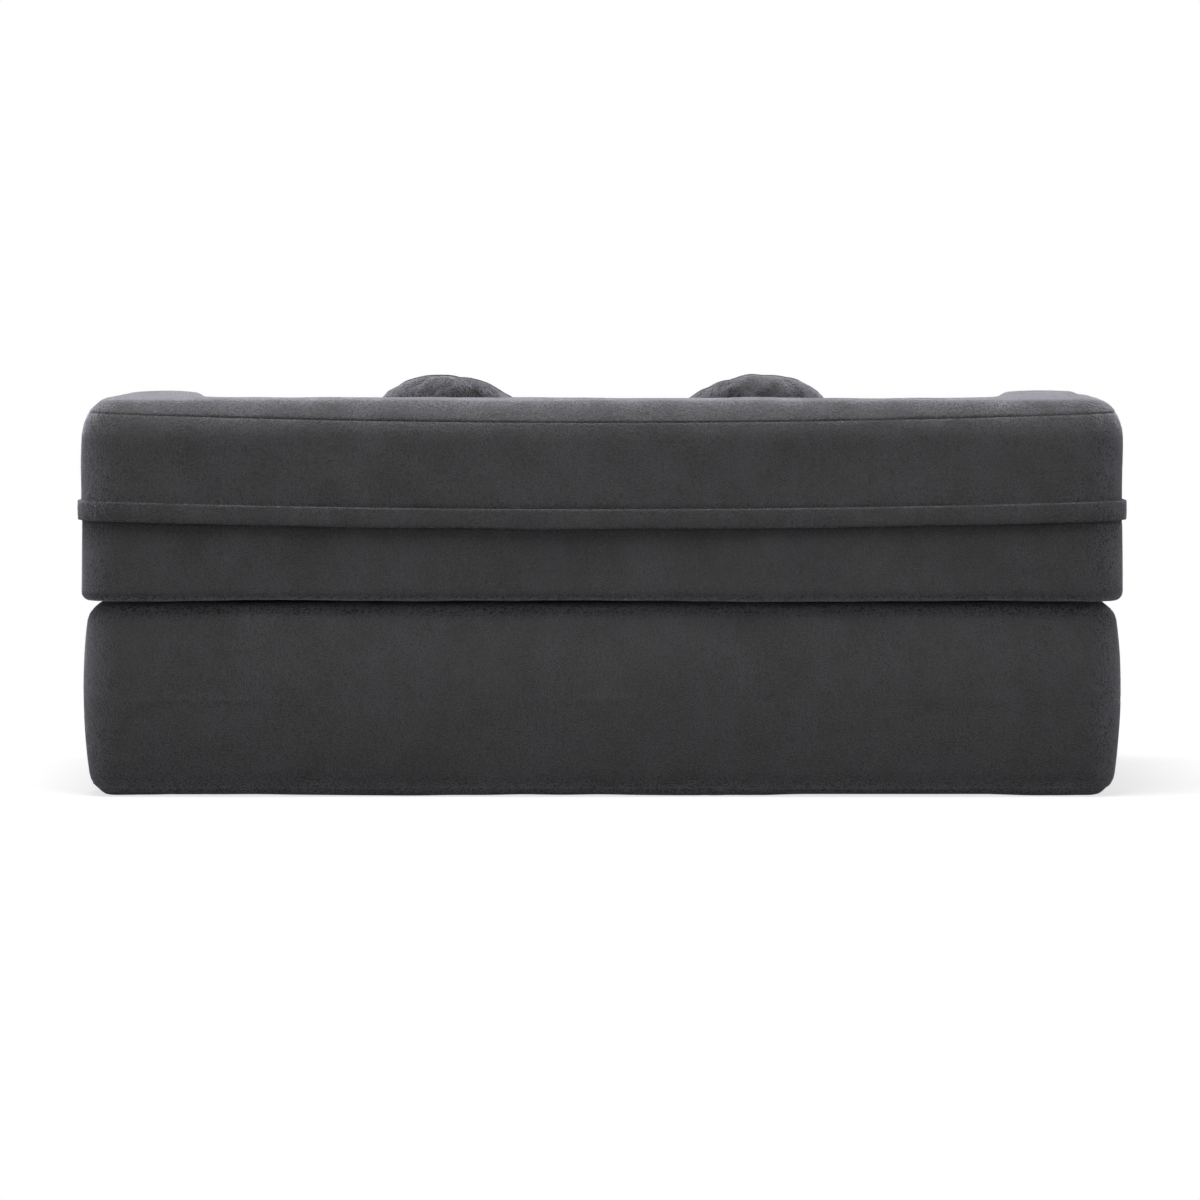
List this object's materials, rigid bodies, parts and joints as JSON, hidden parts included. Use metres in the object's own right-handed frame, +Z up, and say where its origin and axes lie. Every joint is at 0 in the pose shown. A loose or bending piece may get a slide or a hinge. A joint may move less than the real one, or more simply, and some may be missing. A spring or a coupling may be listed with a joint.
{
  "type": "folding sofa bed",
  "caption": "Low foam sofa in charcoal velour that unfolds forward in a Z into a bed, with a padded back and arms in one U and loose waist pillows.",
  "frame": {"origin": "on the floor, under the middle of the folded sofa's outer box", "axes": "+Z up, the sitter faces -Y, +X to the sitter's left"},
  "size_m": [1.532, 0.736, 0.6059],
  "materials": {
    "velour": "matte",
    "pillow_velour": "matte",
    "foam": "matte",
    "pillow_filling": "matte",
    "grip_cloth": "matte",
    "zip_tape": "matte",
    "zip_chain": "satin",
    "zip_metal": "satin"
  },
  "bodies": {
    "seat": {"seat_lower_cover": "velour", "seat_top_cover": "velour", "bolster_cover": "velour", "seat_support_foam": "foam", "seat_comfort_foam": "foam", "back_foam": "foam", "left_arm_foam": "foam", "right_arm_foam": "foam", "seat_grip_panel": "grip_cloth", "zipper_lower_tape": "zip_tape", "zipper_upper_tape": "zip_tape", "zipper_chain": "zip_chain", "zipper_stops": "zip_chain", "zipper_flap": "velour"},
    "middle": {"front_fold_panel": "velour", "middle_cover": "velour", "middle_grip_panel": "grip_cloth", "middle_zip": "zip_chain", "middle_support_foam": "foam", "middle_comfort_foam": "foam"},
    "bottom": {"rear_fold_panel": "velour", "bottom_cover": "velour", "bottom_grip_panel": "grip_cloth", "bottom_zip": "zip_chain", "bottom_support_foam": "foam", "bottom_comfort_foam": "foam"},
    "zip_slider": {"zipper_slider": "zip_metal"},
    "left_pillow": {"left_pillow_cover": "pillow_velour", "left_pillow_fill": "pillow_filling"},
    "right_pillow": {"right_pillow_cover": "pillow_velour", "right_pillow_fill": "pillow_filling"}
  },
  "joints": [
    {"name": "front_fold", "type": "hinge", "parent": "seat", "child": "middle", "pos_m": [0, -0.369, 0.284], "axis": [-1, 0, 0], "range_deg": [0, 180], "deforming": ["front_fold_panel"]},
    {"name": "rear_fold", "type": "hinge", "parent": "middle", "child": "bottom", "pos_m": [0, 0.363, 0.142], "axis": [1, 0, 0], "range_deg": [0, 180], "deforming": ["rear_fold_panel"]},
    {"name": "zipper_slide", "type": "slide", "parent": "seat", "child": "zip_slider", "axis": [0, 1, 0], "range_m": [0, 0.553]},
    {"name": "left_pillow_lift", "type": "slide", "parent": "seat", "child": "left_pillow", "axis": [0, 0, 1], "range_m": [0, 0.35]},
    {"name": "right_pillow_lift", "type": "slide", "parent": "seat", "child": "right_pillow", "axis": [0, 0, 1], "range_m": [0, 0.35]}
  ]
}
